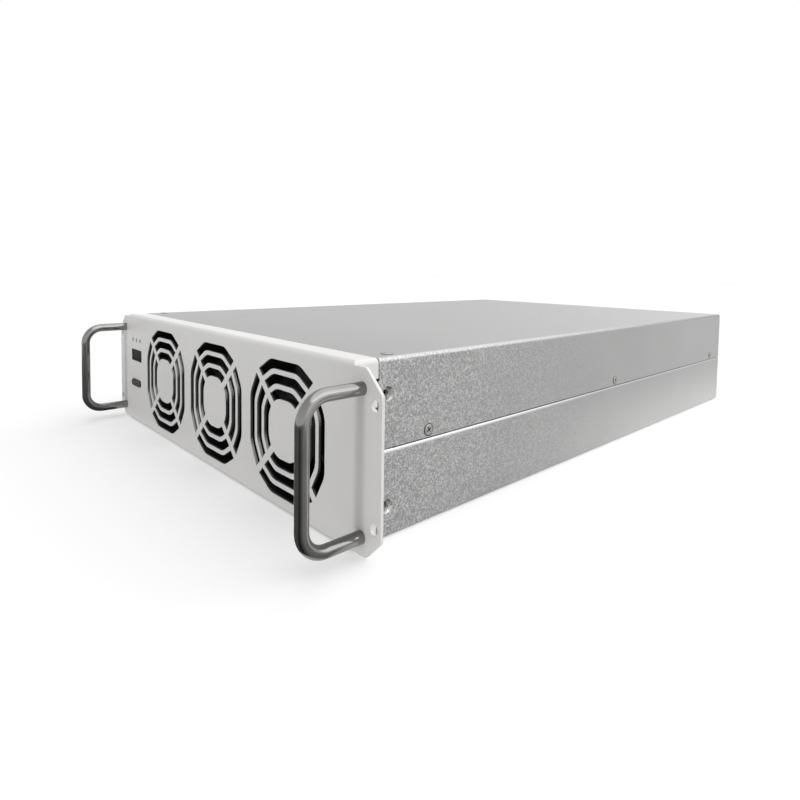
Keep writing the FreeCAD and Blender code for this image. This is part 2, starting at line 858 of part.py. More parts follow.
def fan_rotor(x):
    """Cup-shaped hub with its shaft and twisted blades."""
    y0 = fan_front + rotor_setback
    y1 = fan_back - motor_base - rotor_clearance
    tip = fan_size / 2 - fan_wall - blade_tip_gap
    root = hub_radius - blade_overlap
    stations = [(root - hub_wall, 0.0), ((root + tip) / 2, 0.5), (tip + hub_wall, 1.0)]
    blade = Part.makeLoft([blade_section(r, share) for r, share in stations], True, True)
    blade.translate(Vector(x, (y0 + y1) / 2, mid_height))
    annulus = rod_y(x, mid_height, tip, y0, y1).cut(rod_y(x, mid_height, root, y0, y1))
    blade = blade.common(annulus)
    blades = []
    for index in range(blade_count):
        turned = blade.copy()
        turned.rotate(Vector(x, 0, mid_height), Vector(0, 1, 0), index * 360 / blade_count)
        blades.append(turned)
    nose = Part.makeCone(hub_radius - hub_bevel, hub_radius, hub_bevel,
                         Vector(x, y0, mid_height), Vector(0, 1, 0))
    hub = joined([nose, rod_y(x, mid_height, hub_radius, y0 + hub_bevel, y1)])
    hub = hub.cut(rod_y(x, mid_height, hub_radius - hub_wall, y0 + hub_bevel, y1))
    shaft = rod_y(x, mid_height, shaft_radius, y0, fan_back - motor_base)
    return joined([hub, shaft] + blades)


def fan_plate():
    """Sheet behind the fans that carries them, with wings along the sides."""
    low = sheet
    high = chassis_height - sheet - fit_gap
    plate = box(-inner_x, inner_x, fan_back, plate_back, low, high)
    wing_back = plate_back + 2 * front_screw_inset
    wing = box(bracket_face, inner_x, fan_back, wing_back, low + case_fold, high - case_fold)
    plate = joined([plate] + both_sides(wing))
    cuts = side_screw_holes()
    for x in fan_centres():
        cuts.append(rod_y(x, mid_height, fan_size / 2 - fan_wall, fan_back, plate_back))
        for hole_x, hole_z in fan_corner_spots(x):
            cuts.append(rod_y(hole_x, hole_z, m4_radius + screw_play, fan_back, plate_back))
    wiring = rounded_block_y(strip_x, mid_height, control_strip / 2, fan_size / 2, fan_corner,
                             fan_back, plate_back)
    return plate.cut(cuts + [wiring])


def fan_screws():
    screws = []
    for x in fan_centres():
        for hole_x, hole_z in fan_corner_spots(x):
            seat = Vector(hole_x, plate_back, hole_z)
            screws.append(pan_screw(seat, Vector(0, -1, 0), m4_radius, fan_screw_length))
    return screws


# Control strip

def display_window():
    width = display_width - 2 * screw_play
    height = display_height - 2 * screw_play
    lens = rounded_block_y(strip_x, display_z, width, height, corner_round, front + lens_setback, panel_back)
    rim = rounded_block_y(strip_x, display_z, display_width + 2 * lens_rim, display_height + 2 * lens_rim,
                          lens_rim, panel_back, panel_back + lens_rim_thick)
    return joined([lens, rim])


def display_module():
    width = display_width + 2 * digit_margin
    height = display_height + 2 * digit_margin
    return rounded_block_y(strip_x, display_z, width, height, corner_round,
                           board_face - digit_depth, board_face)


def status_light_pipes():
    pipes = []
    for x in light_centres():
        rim = rod_y(x, light_z, light_radius + light_rim, panel_back, panel_back + light_rim_thick)
        pipe = rod_y(x, light_z, light_radius, front, board_face - led_height - led_gap)
        pipes.append(joined([rim, pipe]))
    return pipes


def status_leds():
    half = led_size / 2
    return [box(x - half, x + half, board_face - led_height, board_face, light_z - half, light_z + half)
            for x in light_centres()]


def key_button():
    """Rounded key that pokes through the panel, with a rim behind it."""
    rim_front = key_rim_back - key_rim_thick
    cap = capsule_y(strip_x, key_z, key_width, key_height, front - key_proud, rim_front)
    rim = capsule_y(strip_x, key_z, key_width + 2 * key_rim, key_height + 2 * key_rim,
                    rim_front, key_rim_back)
    return joined([cap, rim])


def key_plunger():
    return rod_y(strip_x, key_z, plunger_radius, key_rim_back, switch_face + plunger_depth)


def key_switch():
    body = rounded_block_y(strip_x, key_z, switch_size, switch_size, corner_round, switch_face, board_face)
    well = plunger_depth + key_travel + fit_gap
    return body.cut(rod_y(strip_x, key_z, plunger_radius + fit_gap, switch_face, switch_face + well))


def post_spots():
    across = front_board_half - post_inset
    heights = (front_board_top - post_top_inset, chassis_height - post_lower_drop)
    return [(strip_x + side * across, z) for side in (-1, 1) for z in heights]


def front_board():
    back = board_face + front_board_sheet
    board = box(strip_x - front_board_half, strip_x + front_board_half, board_face, back,
                chassis_height - front_board_drop, front_board_top)
    return board.cut([rod_y(x, z, m3_radius + screw_play, board_face, back) for x, z in post_spots()])


def front_board_posts():
    posts = []
    for x, z in post_spots():
        post = rod_y(x, z, post_radius, panel_back, board_face)
        thread_end = board_face - thread_bite - fit_gap
        posts.append(post.cut(rod_y(x, z, m3_radius + screw_play, thread_end, board_face)))
    return posts


def front_board_screws():
    screws = []
    for x, z in post_spots():
        seat = Vector(x, board_face + front_board_sheet, z)
        head = rod(seat, Vector(0, 1, 0), m3_head_radius, m3_head_height)
        shank = rod(seat, Vector(0, -1, 0), m3_radius, front_board_sheet + thread_bite)
        screws.append(joined([head, shank]))
    return screws


# Power board

def standoff_spots():
    x = board_half - standoff_inset
    step = (board_length - 2 * standoff_inset) / (standoff_rows - 1)
    rows = [board_front + standoff_inset + index * step for index in range(standoff_rows)]
    return [(side * x, y) for side in (-1, 1) for y in rows]


def power_board():
    board = box(-board_half, board_half, board_front, board_back, board_low, board_top)
    return board.cut([rod_z(x, y, m3_radius + screw_play, board_low, board_top) for x, y in standoff_spots()])


def hexagon(x, y, radius, z0, z1):
    """Hexagonal post along Z with its corners at the radius."""
    turns = [math.radians(60 * index) for index in range(6)]
    corners = [Vector(x + radius * math.cos(turn), y + radius * math.sin(turn), z0) for turn in turns]
    return Part.Face(Part.makePolygon(corners + corners[:1])).extrude(Vector(0, 0, z1 - z0))


def board_standoffs():
    posts = []
    for x, y in standoff_spots():
        post = hexagon(x, y, standoff_radius, sheet, board_low)
        thread_end = board_low - thread_bite - fit_gap
        posts.append(post.cut(rod_z(x, y, m3_radius + screw_play, thread_end, board_low)))
    return posts


def board_screws():
    screws = []
    for x, y in standoff_spots():
        head = rod_z(x, y, m3_head_radius, board_top, board_top + m3_head_height)
        shank = rod_z(x, y, m3_radius, board_low - thread_bite, board_top)
        screws.append(joined([head, shank]))
    return screws


def heat_sink():
    """Right-hand extrusion: an upright base with fins towards the case's side."""
    x = sink_face
    y0 = board_front + row_gap
    y1 = y0 + sink_length
    shapes = [box(x, x + sink_base, y0, y1, board_top, board_top + sink_height)]
    step = (sink_height - sink_foot - sink_fin) / (sink_fins - 1)
    for index in range(sink_fins):
        z = board_top + sink_foot + index * step
        shapes.append(box(x, x + sink_reach, y0, y1, z, z + sink_fin))
    return joined(shapes)


def transistors():
    """Row of flat packages against the sink's bare side, with their leads on the board."""
    x0 = sink_face - transistor_thick
    z0 = board_top + transistor_rise
    half = transistor_width / 2
    middle = sink_face - transistor_thick / 2
    pitch = sink_length / transistor_count
    packages = []
    for index in range(transistor_count):
        y = board_front + row_gap + (index + 0.5) * pitch
        pieces = [box(x0, sink_face, y - half, y + half, z0, z0 + transistor_height)]
        for lead in (-1, 0, 1):
            lead_y = y + lead * lead_pitch
            pieces.append(box(middle - lead_thick / 2, middle + lead_thick / 2,
                              lead_y - lead_width / 2, lead_y + lead_width / 2, board_top, z0))
        packages.append(joined(pieces))
    return packages


def can(x, y, radius, height):
    """Aluminium can with a bevelled top."""
    shoulder = board_top + height - can_bevel
    body = rod_z(x, y, radius, board_top, shoulder)
    top = Part.makeCone(radius, radius - can_bevel, can_bevel, Vector(x, y, shoulder))
    return joined([body, top])


def bulk_capacitors():
    cans = []
    for column in range(bulk_columns):
        for row in range(bulk_rows):
            x = bulk_radius + column * bulk_pitch - row_edge
            y = board_front + row_gap + bulk_pitch * (row + 0.5)
            cans.append(can(x, y, bulk_radius, bulk_height))
    return cans


def ring_core(x, y, z, outer, inner, height):
    return rod_z(x, y, outer, z, z + height).cut(rod_z(x, y, inner, z, z + height))


def winding_outline(outer, inner, height, offset):
    """Face round a ring core's section, offset from it, in the X-Z plane."""
    corners = [
        Vector(inner - offset, 0, -offset),
        Vector(outer + offset, 0, -offset),
        Vector(outer + offset, 0, height + offset),
        Vector(inner - offset, 0, height + offset),
    ]
    return Part.Face(Part.makePolygon(corners + corners[:1]))


def ring_winding(x, y, z, outer, inner, height):
    """Winding round a ring core, open over a short part of the ring."""
    outside = winding_outline(outer, inner, height, winding_gap + winding_thick)
    section = outside.cut(winding_outline(outer, inner, height, winding_gap))
    winding = section.Faces[0].revolve(Vector(0, 0, 0), Vector(0, 0, 1), winding_turn)
    winding.translate(Vector(x, y, z))
    return winding


def choke_spots():
    """Centres of the boost chokes: a row across the left half of the board."""
    first = -board_half + standoff_inset + standoff_radius + column_gap + choke_outer
    y = board_front + row_gap + bulk_length + row_gap + choke_outer
    return [(first + index * choke_pitch, y) for index in range(choke_count)]


def filter_choke_spot():
    x = -board_half + standoff_inset + standoff_radius + column_gap + filter_outer
    y = board_front + 2 * row_gap + bulk_length + choke_length + filter_outer + row_gap
    return x, y


def choke_base(x, y, outer):
    """Moulded seat under a ring choke."""
    return rod_z(x, y, outer, board_top, board_top + choke_base_thick)


def ring_z():
    return board_top + choke_base_thick + winding_thick + winding_gap


def choke_seats():
    seats = [choke_base(x, y, choke_outer) for x, y in choke_spots()]
    x, y = filter_choke_spot()
    return seats + [choke_base(x, y, filter_outer)]


def boost_choke_cores():
    return [ring_core(x, y, ring_z(), choke_core_outer, choke_core_inner, choke_core_height)
            for x, y in choke_spots()]


def boost_choke_windings():
    return [ring_winding(x, y, ring_z(), choke_core_outer, choke_core_inner, choke_core_height)
            for x, y in choke_spots()]


def filter_choke_core():
    x, y = filter_choke_spot()
    return ring_core(x, y, ring_z(), filter_core_outer, filter_core_inner, filter_core_height)


def filter_choke_winding():
    x, y = filter_choke_spot()
    return ring_winding(x, y, ring_z(), filter_core_outer, filter_core_inner, filter_core_height)


def transformer_spots():
    x = row_edge - core_length / 2
    first = board_front + row_gap + transformer_pitch / 2
    return [(x, first + index * transformer_pitch) for index in range(transformer_count)]


def transformer_core(x, y):
    """Two ferrite halves as one closed core with a round centre leg."""
    half = core_length / 2
    w = core_width / 2
    body = box(x - half, x + half, y - w, y + w, board_top, board_top + core_height)
    window = box(x - half + core_back, x + half - core_back, y - w, y + w,
                 board_top + core_back, board_top + core_height - core_back)
    leg = rod_z(x, y, core_leg / 2, board_top + core_back / 2, board_top + core_height - core_back / 2)
    return joined([body.cut(window), leg])


def transformer_coil(x, y):
    """Winding round the centre leg, within the core's window."""
    z0 = board_top + core_back + coil_gap
    z1 = board_top + core_height - core_back - coil_gap
    radius = core_length / 2 - core_back - coil_gap
    return rod_z(x, y, radius, z0, z1).cut(rod_z(x, y, core_leg / 2 + coil_gap, z0, z1))


def resonant_inductors():
    x, last = transformer_spots()[-1]
    start = last + transformer_pitch / 2 + row_gap
    blocks = []
    for index in range(resonant_count):
        x0 = x + (index - (resonant_count - 1) / 2) * resonant_pitch - resonant_width / 2
        blocks.append(box(x0, x0 + resonant_width, start, start + resonant_length,
                          board_top, board_top + resonant_height))
    return blocks


def output_bank_front():
    last = transformer_spots()[-1][1]
    return last + transformer_pitch / 2 + 2 * row_gap + resonant_length


def output_capacitors():
    x = transformer_spots()[0][0]
    cans = []
    for column in range(output_columns):
        for row in range(output_rows):
            can_x = x + (column - (output_columns - 1) / 2) * output_pitch
            can_y = output_bank_front() + output_pitch * (row + 0.5)
            cans.append(can(can_x, can_y, output_radius, output_height))
    return cans


def relay_front():
    return output_bank_front() + output_rows * output_pitch + row_gap


def output_relay():
    x0 = outlet_x - relay_width / 2
    y0 = relay_front()
    return box(x0, x0 + relay_width, y0, y0 + relay_length, board_top, board_top + relay_height)


def busbar(side):
    """Flat copper bar from the relay to one blade of the outlet."""
    x = outlet_x + side * busbar_pitch
    y0 = relay_front()
    return box(x - busbar_width / 2, x + busbar_width / 2, y0, pin_leg_y - fit_gap,
               board_top, board_top + busbar_thick)


def filter_capacitors():
    x = filter_choke_spot()[0]
    start = filter_choke_spot()[1] + filter_outer + row_gap
    blocks = []
    for index in range(filter_count):
        y0 = start + index * filter_pitch - row_gap / 2
        blocks.append(box(x - filter_width / 2, x + filter_width / 2, y0, y0 + filter_length,
                          board_top, board_top + filter_height))
    return blocks


def input_fuses():
    """Barrel fuses lying on two end caps beside the filter choke."""
    start = filter_choke_spot()[0] + filter_outer + column_gap + fuse_radius
    y0 = filter_choke_spot()[1] - fuse_length / 2
    fuses = []
    for index in range(inlet_poles - 1):
        x = start + index * fuse_pitch
        barrel = rod_y(x, board_top + fuse_rise, fuse_radius, y0, y0 + fuse_length)
        pieces = [barrel]
        for clip in (y0, y0 + fuse_length - fuse_cap):
            pieces.append(box(x - fuse_radius / 2, x + fuse_radius / 2, clip, clip + fuse_cap,
                              board_top, board_top + fuse_rise))
        fuses.append(joined(pieces))
    return fuses


# Control card

def control_card():
    y0 = board_front + row_gap
    x0 = card_x - card_sheet / 2
    return box(x0, x0 + card_sheet, y0, y0 + card_length, board_top, board_top + card_height)


def card_header():
    y0 = board_front + row_gap
    x0 = card_x + card_sheet / 2
    return box(x0, x0 + header_width, y0, y0 + card_length, board_top, board_top + header_height)


def card_chips():
    chips = []
    x1 = card_x - card_sheet / 2
    z0 = board_top + (card_height - chip_size) / 2
    middle = board_front + row_gap + card_length / 2
    for index in range(chip_count):
        y0 = middle + (index - (chip_count - 1) / 2) * chip_pitch - chip_size / 2
        chips.append(box(x1 - chip_thick, x1, y0, y0 + chip_size, z0, z0 + chip_size))
    return chips


# Rear sockets, each described by its middle and the size of its mouth

inlet = (inlet_x, inlet_width, inlet_height)
outlet = (outlet_x, outlet_width, outlet_height)


def socket_body(socket, play):
    """Outside of a socket's shell where it passes the rear panel."""
    x, width, height = socket
    w = width / 2 + socket_wall + play
    return box(x - w, x + w, rear - socket_depth, rear + socket_flange,
               socket_z - socket_wall - play, socket_z + height + socket_wall + play)


def socket_screws(socket, play):
    x, width, height = socket
    offset = width / 2 + socket_wall + socket_ear / 2
    z = socket_z + height / 2
    points = [Vector(x + side * offset, rear + socket_flange, z) for side in (-1, 1)]
    return [countersunk(point, Vector(0, -1, 0), play) for point in points]


def socket_shell(socket):
    """Open box with an outer flange and two screw holes."""
    x, width, height = socket
    w = width / 2
    ear = w + socket_wall + socket_ear
    flange = box(x - ear, x + ear, rear, rear + socket_flange,
                 socket_z - socket_wall - socket_play, socket_z + height + socket_wall + socket_play)
    mouth = box(x - w, x + w, rear - socket_depth + socket_wall, rear + socket_flange,
                socket_z, socket_z + height)
    shell = joined([socket_body(socket, 0), flange])
    return shell.cut([mouth] + socket_screws(socket, screw_play))


def pin(x, z, width, thick):
    """Contact with its tip in the mouth and its tail turned down onto the board."""
    tip = rear + socket_flange - pin_setback
    blade = box(x - width / 2, x + width / 2, pin_leg_y, tip, z - thick / 2, z + thick / 2)
    leg = box(x - width / 2, x + width / 2, pin_leg_y, pin_leg_y + thick, board_top, z)
    return joined([blade, leg])


def inlet_pins():
    x, width, height = inlet
    middle = (inlet_poles - 1) / 2
    z = socket_z + height / 2
    return [pin(x + (index - middle) * inlet_pitch, z, blade_pin_width, blade_pin_thick)
            for index in range(inlet_poles)]


def outlet_pins():
    """Two power blades at the ends and a row of signal pins between them."""
    x, width, height = outlet
    z = socket_z + height / 2
    pins = [pin(x + side * busbar_pitch, z, blade_pin_width, blade_pin_thick) for side in (-1, 1)]
    middle = (signal_poles - 1) / 2
    for index in range(signal_poles):
        pins.append(pin(x + (index - middle) * signal_pitch, z, signal_pin, signal_pin))
    return pins


def with_pin_slots(shell, pins):
    """The shell with its back wall opened where the contacts pass."""
    return shell.cut(pins)


nodes = {
    "bottom_tray": bottom_tray(),
    "top_cover": top_cover(),
    "rear_panel": rear_panel(),
    "front_panel": front_panel(),
    "panel_bracket_right": panel_bracket(),
    "panel_bracket_left": mirrored(panel_bracket()),
    "handle_left": handle(-1),
    "handle_right": handle(1),
    "handle_screws": group(handle_screws()),
    "cover_side_screws": group(cover_side_screws()),
    "cover_top_screws": group(lid_screws(0)),
    "fan_plate": fan_plate(),
    "fan_screws": group(fan_screws()),
    "fan_stators": group([fan_stator(x) for x in fan_centres()]),
    "display_window": display_window(),
    "display_module": display_module(),
    "status_light_pipes": group(status_light_pipes()),
    "status_leds": group(status_leds()),
    "key_button": key_button(),
    "key_plunger": key_plunger(),
    "key_switch": key_switch(),
    "front_board": front_board(),
    "front_board_posts": group(front_board_posts()),
    "front_board_screws": group(front_board_screws()),
    "power_board": power_board(),
    "board_standoffs": group(board_standoffs()),
    "board_screws": group(board_screws()),
    "output_heat_sink": heat_sink(),
    "input_heat_sink": mirrored(heat_sink()),
    "output_transistors": group(transistors()),
    "input_transistors": group([mirrored(piece) for piece in transistors()]),
    "bulk_capacitors": group(bulk_capacitors()),
    "output_capacitors": group(output_capacitors()),
    "choke_seats": group(choke_seats()),
    "boost_choke_cores": group(boost_choke_cores()),
    "boost_choke_windings": group(boost_choke_windings()),
    "filter_choke_core": filter_choke_core(),
    "filter_choke_winding": filter_choke_winding(),
    "transformer_cores": group([transformer_core(x, y) for x, y in transformer_spots()]),
    "transformer_coils": group([transformer_coil(x, y) for x, y in transformer_spots()]),
    "resonant_inductors": group(resonant_inductors()),
    "filter_capacitors": group(filter_capacitors()),
    "input_fuses": group(input_fuses()),
    "output_relay": output_relay(),
    "busbar_positive": busbar(1),
    "busbar_negative": busbar(-1),
    "control_card": control_card(),
    "card_header": card_header(),
    "card_chips": group(card_chips()),
    "inlet_socket": with_pin_slots(socket_shell(inlet), inlet_pins()),
    "inlet_pins": group(inlet_pins()),
    "outlet_socket": with_pin_slots(socket_shell(outlet), outlet_pins()),
    "outlet_pins": group(outlet_pins()),
    "socket_screws": group(socket_screws(inlet, 0) + socket_screws(outlet, 0)),
}
for place, x in zip(("left", "middle", "right"), fan_centres()):
    nodes["fan_frame_" + place] = fan_frame(x)
    nodes["fan_rotor_" + place] = fan_rotor(x)

os.makedirs("parts", exist_ok=True)
for name, shape in nodes.items():
    shape.exportStep(os.path.join("parts", name + ".step"))
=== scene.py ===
"""Looks of a charger power module: a zinc-coated rack case with a white fan panel and steel handles."""

import json
import math

import bmesh
import bpy
from mathutils import Matrix, Vector


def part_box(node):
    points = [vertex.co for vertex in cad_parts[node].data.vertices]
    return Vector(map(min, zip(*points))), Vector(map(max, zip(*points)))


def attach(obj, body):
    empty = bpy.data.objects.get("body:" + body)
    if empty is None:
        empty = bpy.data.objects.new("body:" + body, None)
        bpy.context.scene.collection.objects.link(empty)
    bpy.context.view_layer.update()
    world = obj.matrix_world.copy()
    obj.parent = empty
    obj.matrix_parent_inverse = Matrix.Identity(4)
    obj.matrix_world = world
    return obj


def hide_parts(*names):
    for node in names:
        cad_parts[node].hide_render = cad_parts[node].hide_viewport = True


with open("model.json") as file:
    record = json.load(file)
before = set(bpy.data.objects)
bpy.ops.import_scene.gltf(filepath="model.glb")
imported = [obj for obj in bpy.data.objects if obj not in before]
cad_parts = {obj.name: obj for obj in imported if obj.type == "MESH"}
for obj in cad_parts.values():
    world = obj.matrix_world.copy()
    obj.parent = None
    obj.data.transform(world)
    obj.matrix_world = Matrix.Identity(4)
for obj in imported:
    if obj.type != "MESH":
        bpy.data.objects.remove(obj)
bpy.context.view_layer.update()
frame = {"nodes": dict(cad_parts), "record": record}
nodes = frame["nodes"]
record = frame["record"]

MM = 0.001

# Camera: where the photograph was taken from, and its 800 x 800 frame
FRAME_PIXELS = 800
FOCAL_PIXELS = 559.6
CENTRE_PIXEL = (409.6, 299.4)
CAMERA_PLACE = Vector((0.33728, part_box("front_panel")[0].y - 0.14697, 0.12367))
CAMERA_YAW = math.radians(-46.43)
CAMERA_PITCH = math.radians(-3.07)
CAMERA_ROLL = math.radians(0.894)
SENSOR = 36.0
CLIP_START = 0.01

# Light: levels at which a colour renders about as it is written
SKY_LEVEL = 0.25
TOP_LIGHT = 2.5
TOP_LIGHT_SPREAD = math.radians(100)
TOP_LIGHT_FROM = (0.3, 0.5, 1.0)
BACK_LAMP_PLACE = (0.3, 1.3, 0.95)
BACK_LAMP_WIDTH = 1.5
BACK_LAMP_HEIGHT = 0.5
BACK_LAMP_POWER = 1.2
SIDE_LAMP_PLACE = (1.5, 0.2, 0.9)
SIDE_LAMP_WIDTH = 1.8
SIDE_LAMP_POWER = 5.0
FRONT_LIGHT = 0.58
FRONT_LIGHT_SPREAD = math.radians(9)
FRONT_LIGHT_FROM = (0.05, -1.0, 0.1)
BOUNCE_WIDTH = 0.5
BOUNCE_DEPTH = 0.15
BOUNCE_POWER = 0.05
FLOOR_SIZE = 14.0
FLOOR_DROP = 0.2 * MM
FLOOR_COLOUR = (0.64, 0.64, 0.64, 1)
FLOOR_GLOW = 0.4

# Studio cards that lie before the panel, for the streaks in polished metal.
# Each is a span of degrees, counted from straight ahead towards the right, a shade and a reach.
CARDS = [
    (-93, 8, 0.145, 0.6),
    (8, 42, 0.02, 0.6),
    (42, 66, 0.17, 0.6),
    (66, 92, 0.36, 0.6),
    (92, 132, 0.38, 0.24),
]
CARD_CENTRE = Vector((0.15, -0.235))
CARD_INNER = 0.01
CARD_LIFT = 1 * MM
CARD_STEP_DEGREES = 4

# Zinc: where its spangle fades, and where its painted light and shade change, along the part, by height, on
# the top folds, under the seam and at the rail holes
SPANGLE_FADE = (-0.185, 0.0)
PAINTED_DRIFT_RUN = (-0.1, 0.2)
FLOOR_SHEEN_HEIGHTS = (4 * MM, 40 * MM)
FLOOR_SHEEN_FADE = (-0.12, 0.08)
FOLD_HEIGHT = 4 * MM
FOLD_SHADE_RUN = (-0.2, 0.2)
SEAM_GAP = 0.4 * MM
# Painted highlight under the seam: its depths and its fade along the part
SEAM_HIGHLIGHT_DEPTHS = (2.0 * MM, 1.1 * MM, 0.7 * MM, 0.2 * MM)
SEAM_HIGHLIGHT_FADE = (-0.13, 0.01)
SIDE_SKIN = 1.5 * MM
RAIL_HOLE_SETBACK = 19.6 * MM
RAIL_HOLE_RADIUS = 3.5 * MM

# Panel coat: the area with the fan slots, and the depth over which painted shade darkens their walls
SLOT_REACH = 0.146
SLOT_DROP = 5 * MM
SLOT_SHADE_DEPTH = 1.6 * MM

# Limits of parts of a face's normal, which tell a wall, a fold or an upper side
SIDE_TO_LID = (0.5, 0.9)
FOLD_FACING = (0.1, 0.35)
LIP_FACING = (0.1, 0.3)
WALL_FACING = 0.5
LIT_RISE = (0.0, 0.45)
LIT_FALL = (0.52, 0.66)
LIT_RIGHT = 0.6
ROD_TOP_SHADE = (0.1, 0.8)

# Limits of most values of a noise
NOISE_RANGE = (0.3, 0.7)


class Finish:
    """A procedural material, with short calls for its nodes. Lengths are metres."""

    def __init__(self, name, constants):
        self.material = bpy.data.materials.new(name)
        self.material.use_nodes = True
        self.tree = self.material.node_tree
        self.shader = self.tree.nodes["Principled BSDF"]
        self.place = self.add("TexCoord").outputs["Object"]
        for socket, value in constants.items():
            self.shader.inputs[socket].default_value = value

    def add(self, kind, inputs=None, **settings):
        node = self.tree.nodes.new("ShaderNode" + kind)
        for key, value in settings.items():
            setattr(node, key, value)
        for socket, value in (inputs or {}).items():
            self.put(node.inputs[socket], value)
        return node

    def put(self, socket, value):
        if isinstance(value, bpy.types.NodeSocket):
            self.tree.links.new(value, socket)
        else:
            socket.default_value = value

    def feed(self, socket, value):
        self.put(self.shader.inputs[socket], value)

    def noise(self, size, detail=2.0, rough=0.5, place=None):
        inputs = {"Vector": place or self.place, "Scale": 1 / size, "Detail": detail, "Roughness": rough}
        return self.add("TexNoise", inputs)

    def cells(self, size, place):
        return self.add("TexVoronoi", {"Vector": place, "Scale": 1 / size})

    def warped(self, size, amount):
        """Coordinates pushed about by a noise of that size."""
        push = self.noise(size).outputs["Color"]
        centred = self.add("VectorMath", {0: push, 1: (0.5, 0.5, 0.5)}, operation="SUBTRACT").outputs[0]
        scaled = self.add("VectorMath", {0: centred, "Scale": amount}, operation="SCALE").outputs[0]
        return self.add("VectorMath", {0: self.place, 1: scaled}, operation="ADD").outputs[0]

    def stretched(self, scale):
        return self.add("VectorMath", {0: self.place, 1: scale}, operation="MULTIPLY").outputs[0]

    def span(self, value, low, high, start=0.0, end=1.0):
        """The value, from start to end, spread from low to high."""
        inputs = {"Value": value, "From Min": start, "From Max": end, "To Min": low, "To Max": high}
        return self.add("MapRange", inputs).outputs[0]

    def spread(self, noise, low, high):
        """A noise's value, spread from low to high."""
        return self.span(noise, low, high, *NOISE_RANGE)

    def math(self, operation, *values):
        return self.add("Math", dict(enumerate(values)), operation=operation).outputs[0]

    def plus(self, a, b):
        return self.math("ADD", a, b)

    def times(self, first, *others):
        product = first
        for value in others:
            product = self.math("MULTIPLY", product, value)
        return product

    def over(self, value, limit):
        return self.math("GREATER_THAN", value, limit)

    def under(self, value, limit):
        return self.math("LESS_THAN", value, limit)

    def magnitude(self, value):
        return self.math("ABSOLUTE", value)

    def parts(self, vector):
        """X, Y and Z of a vector."""
        return self.add("SeparateXYZ", {0: vector}).outputs

    def normal(self, kind="True Normal"):
        """Which way the surface faces."""
        return self.add("NewGeometry").outputs[kind]

    def gap_shadow(self):
        """The share of painted shadow that a piece's mesh carries."""
        return self.add("Attribute", attribute_name="gap_shadow").outputs["Fac"]

    def ramp(self, value, stops):
        node = self.add("ValToRGB", {"Fac": value})
        points = node.color_ramp.elements
        while len(points) < len(stops):
            points.new(0.5)
        for point, (position, colour) in zip(points, stops):
            point.position = position
            point.color = (*colour, 1)
        return node.outputs["Color"]

    def mottle(self, noise, dark, light):
        """A colour from dark to light, as a noise's value rises."""
        return self.ramp(noise, list(zip(NOISE_RANGE, (dark, light))))

    def blend(self, share, a, b, blend_type="MIX"):
        inputs = {"Factor": share, 6: a, 7: b}
        return self.add("Mix", inputs, data_type="RGBA", blend_type=blend_type).outputs[2]

    def bump(self, height, depth, strength, under=None):
        inputs = {"Height": height, "Distance": depth, "Strength": strength}
        if under:
            inputs["Normal"] = under
        return self.add("Bump", inputs).outputs[0]

    def eased_edges(self, radius):
        return self.add("Bevel", {"Radius": radius}, samples=4).outputs[0]


# Finishes, one for each slot of the record

def seam_highlight(f, along, high):
    """Painted highlight: a bright line under the seam, clearest at the front."""
    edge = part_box("top_cover")[0].z - SEAM_GAP
    start, full, last, end = (edge - depth for depth in SEAM_HIGHLIGHT_DEPTHS)
    line = f.times(f.span(high, 0.0, 1.0, start, full), f.span(high, 1.0, 0.0, last, end))
    return f.times(line, f.span(along, 1.0, 0.15, *SEAM_HIGHLIGHT_FADE))


def lip_highlight(f, along, high, upward):
    """Painted highlight on the lower lips of the dimpled rail holes."""
    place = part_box("front_panel")[0].y + RAIL_HOLE_SETBACK
    near = f.under(f.magnitude(f.math("SUBTRACT", along, place)), RAIL_HOLE_RADIUS)
    lip = f.times(f.span(upward, 0.0, 1.0, *LIP_FACING), near)
    return f.times(lip, f.under(high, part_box("top_cover")[1].z - FOLD_HEIGHT))


